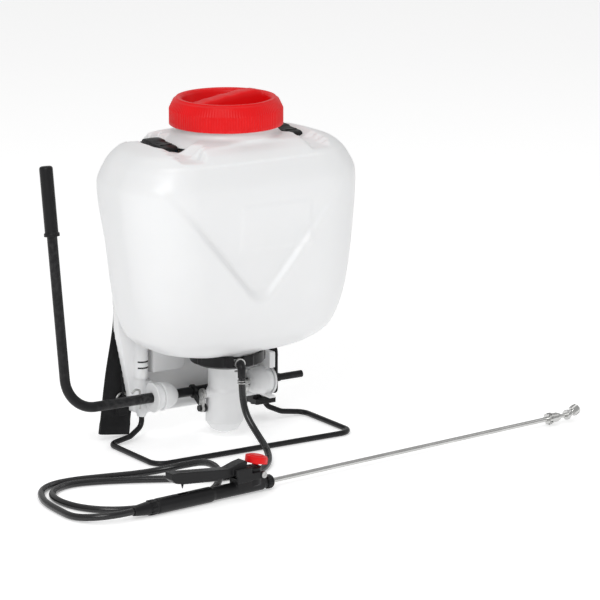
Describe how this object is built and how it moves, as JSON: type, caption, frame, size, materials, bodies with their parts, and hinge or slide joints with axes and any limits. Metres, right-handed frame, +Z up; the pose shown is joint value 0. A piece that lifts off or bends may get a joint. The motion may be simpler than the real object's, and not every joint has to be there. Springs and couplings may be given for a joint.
{
  "type": "backpack sprayer",
  "caption": "Lever-operated backpack sprayer: moulded tank with screw lid, wire stand, piston pump, shoulder straps, hose, trigger gun and lance",
  "frame": {"origin": "on the ground under the filler neck's axis", "axes": "+Z up, -Y the tank's front face, +Y the wearer's back, -X the pump lever's side"},
  "size_m": [0.8944, 0.402, 0.5159],
  "materials": {
    "tank_white": "translucent blow-moulded polyethylene, satin",
    "pump_white": "injection-moulded polypropylene, satin",
    "lid_red": "moulded plastic, semi-gloss",
    "black_plastic": "glass-filled plastic, fine texture",
    "black_steel": "powder-coated steel, satin",
    "hose_rubber": "smooth PVC hose, semi-gloss",
    "seal_rubber": "moulded nitrile",
    "webbing": "woven polypropylene webbing over foam",
    "zinc_steel": "zinc-plated steel",
    "lance_steel": "polished stainless tube",
    "basket_plastic": "moulded polypropylene"
  },
  "bodies": {
    "frame": {"bearing_bush_left": "pump_white", "bearing_bush_right": "pump_white", "clamp_ring": "black_plastic", "flange_seal": "seal_rubber", "gun_body": "black_plastic", "hose": "hose_rubber", "hose_clamps": "zinc_steel", "hose_nut": "black_plastic", "outlet_elbow": "black_plastic", "piston": "pump_white", "piston_seal": "seal_rubber", "piston_tube": "pump_white", "pressure_chamber": "pump_white", "pump_head": "pump_white", "side_plate": "black_plastic", "side_plate_screws": "zinc_steel", "stand_clamp": "black_plastic", "stand_wire": "black_steel", "strainer_basket": "basket_plastic", "strap_anchors": "black_plastic", "strap_hooks": "black_plastic", "strap_left": "webbing", "strap_right": "webbing", "strap_rings": "zinc_steel", "strap_tabs": "webbing", "tank": "tank_white", "tank_base": "tank_white", "trigger_pin": "zinc_steel", "valve_ball": "zinc_steel"},
    "lid_seal": {"lid_gasket": "seal_rubber"},
    "lid": {"lid": "lid_red", "lid_air_valve": "black_plastic"},
    "lever": {"pump_shaft": "black_steel", "lever_tube": "black_steel", "lever_grip": "black_plastic", "lever_clip": "zinc_steel"},
    "barrel": {"pump_cylinder": "pump_white", "lug_pins": "zinc_steel"},
    "link_l": {"link_left": "zinc_steel"},
    "link_r": {"link_right": "zinc_steel"},
    "trigger": {"trigger_lever": "black_plastic"},
    "stem": {"valve_stem": "zinc_steel"},
    "knob": {"lock_knob": "lid_red"},
    "collar": {"lance_nut": "black_plastic"},
    "lance": {"lance_tube": "lance_steel", "nozzle_coupling": "lance_steel", "nozzle_stem": "lance_steel"},
    "nozzle_nut": {"nozzle_ring": "lance_steel"},
    "cap": {"nozzle_cap": "lance_steel"}
  },
  "joints": [
    {"name": "lid_lift", "type": "slide", "parent": "frame", "child": "lid_seal", "axis": [0, 0, 1], "range_m": [0, 0.12]},
    {"name": "lid_turn", "type": "hinge", "parent": "lid_seal", "child": "lid", "pos_m": [0, 0, 0.49], "axis": [0, 0, 1], "range_deg": [0, 360]},
    {"name": "lever_pump", "type": "hinge", "parent": "frame", "child": "lever", "pos_m": [0, 0.045, 0.066], "axis": [-1, 0, 0], "range_deg": [0, 60]},
    {"name": "barrel_stroke", "type": "slide", "parent": "frame", "child": "barrel", "axis": [0, 0, 1], "range_m": [0, 0.0361]},
    {"name": "link_left_pivot", "type": "hinge", "parent": "lever", "child": "link_l", "pos_m": [-0.0356, 0.014, 0.048], "axis": [-1, 0, 0], "range_deg": [-60.2, 0]},
    {"name": "link_right_pivot", "type": "hinge", "parent": "lever", "child": "link_r", "pos_m": [0.0356, 0.014, 0.048], "axis": [-1, 0, 0], "range_deg": [-60.2, 0]},
    {"name": "trigger_squeeze", "type": "hinge", "parent": "frame", "child": "trigger", "pos_m": [-0.11079, -0.25664, 0.028], "axis": [0.107, -0.9943, 0], "range_deg": [0, 5], "stiffness_Nm_per_rad": 3, "springref_deg": -5.16},
    {"name": "stem_press", "type": "slide", "parent": "frame", "child": "stem", "axis": [0, 0, -1], "range_m": [0, 0.003]},
    {"name": "knob_turn", "type": "hinge", "parent": "frame", "child": "knob", "pos_m": [-0.11228, -0.2568, 0.0475], "axis": [0.1727, 0.0186, 0.9848], "range_deg": [0, 90]},
    {"name": "collar_turn", "type": "hinge", "parent": "frame", "child": "collar", "pos_m": [-0.09091, -0.2545, 0.011], "axis": [0.9943, 0.107, 0], "range_deg": [0, 180]},
    {"name": "lance_turn", "type": "hinge", "parent": "frame", "child": "lance", "pos_m": [-0.1088, -0.25643, 0.011], "axis": [0.9943, 0.107, 0], "range_deg": [-90, 90]},
    {"name": "nozzle_nut_turn", "type": "hinge", "parent": "lance", "child": "nozzle_nut", "pos_m": [0.46986, -0.19418, 0.011], "axis": [0.9943, 0.107, 0], "range_deg": [0, 180]},
    {"name": "cap_turn", "type": "hinge", "parent": "lance", "child": "cap", "pos_m": [0.47483, -0.19364, 0.011], "axis": [0.9011, 0.0969, 0.4226], "range_deg": [0, 360]}
  ],
  "couplings": [
    {"joint": "barrel_stroke", "follows": "lever_pump", "m_per_rad": 0.034377},
    {"joint": "link_left_pivot", "follows": "lever_pump", "ratio": -1},
    {"joint": "link_right_pivot", "follows": "lever_pump", "ratio": -1},
    {"joint": "stem_press", "follows": "trigger_squeeze", "m_per_rad": 0.034034}
  ]
}
